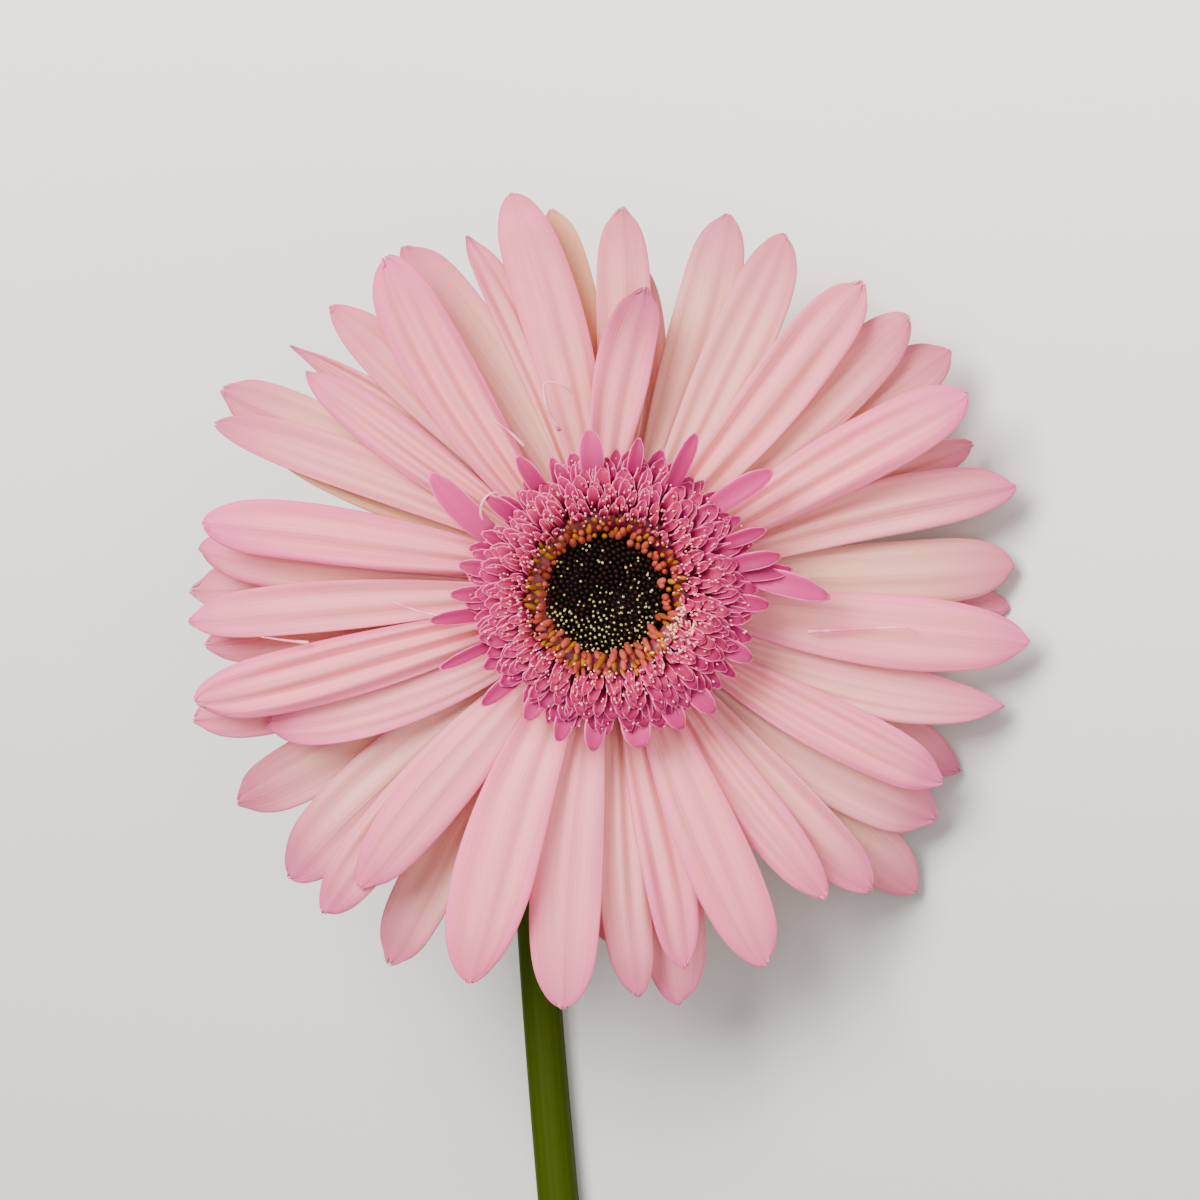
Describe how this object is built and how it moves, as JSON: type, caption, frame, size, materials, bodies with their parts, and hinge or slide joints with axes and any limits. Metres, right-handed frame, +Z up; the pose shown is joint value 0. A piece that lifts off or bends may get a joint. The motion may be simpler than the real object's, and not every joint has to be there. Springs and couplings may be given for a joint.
{
  "type": "cut gerbera",
  "caption": "Single cut gerbera lying on its side: long pale pink ray petals round a mauve fringe and a dark disc, on a bare green stem with a bent neck.",
  "frame": {"origin": "on the table, under the middle of the whole flower's box", "axes": "+Z up from the table, +Y from the cut end of the stem towards the head, the face of the flower leans to +X"},
  "size_m": [0.0994, 0.2954, 0.0628],
  "materials": {
    "petal": "soft matt petal with fine lengthwise veins",
    "floret": "soft matt petal, paler at the edges",
    "bud": "waxy matt",
    "disc": "velvety matt with pollen dust",
    "bract": "downy leaf",
    "stem": "smooth green stalk with fine down"
  },
  "bodies": {
    "root": {"stem": "stem", "bracts_outer": "bract", "bracts_inner": "bract", "ray_01": "petal", "ray_02": "petal", "ray_03": "petal", "ray_04": "petal", "ray_05": "petal", "ray_06": "petal", "ray_07": "petal", "ray_08": "petal", "ray_09": "petal", "ray_10": "petal", "ray_11": "petal", "ray_12": "petal", "ray_13": "petal", "ray_14": "petal", "ray_15": "petal", "ray_16": "petal", "ray_17": "petal", "ray_18": "petal", "ray_19": "petal", "ray_20": "petal", "ray_21": "petal", "ray_22": "petal", "ray_23": "petal", "ray_24": "petal", "ray_25": "petal", "ray_26": "petal", "ray_27": "petal", "ray_28": "petal", "ray_29": "petal", "ray_30": "petal", "ray_31": "petal", "ray_32": "petal", "ray_33": "petal", "ray_34": "petal", "ray_35": "petal", "ray_36": "petal", "ray_37": "petal", "ray_38": "petal", "ray_39": "petal", "ray_40": "petal", "ray_41": "petal", "ray_42": "petal", "ray_43": "petal", "ray_44": "petal", "ray_45": "petal", "ray_46": "petal", "ray_47": "petal", "ray_48": "petal", "ray_49": "petal", "ray_50": "petal", "ray_51": "petal", "ray_52": "petal", "ray_53": "petal", "trans_florets_outer": "floret", "trans_florets_inner": "floret", "floret_buds": "bud", "disc_florets": "disc"}
  },
  "joints": []
}
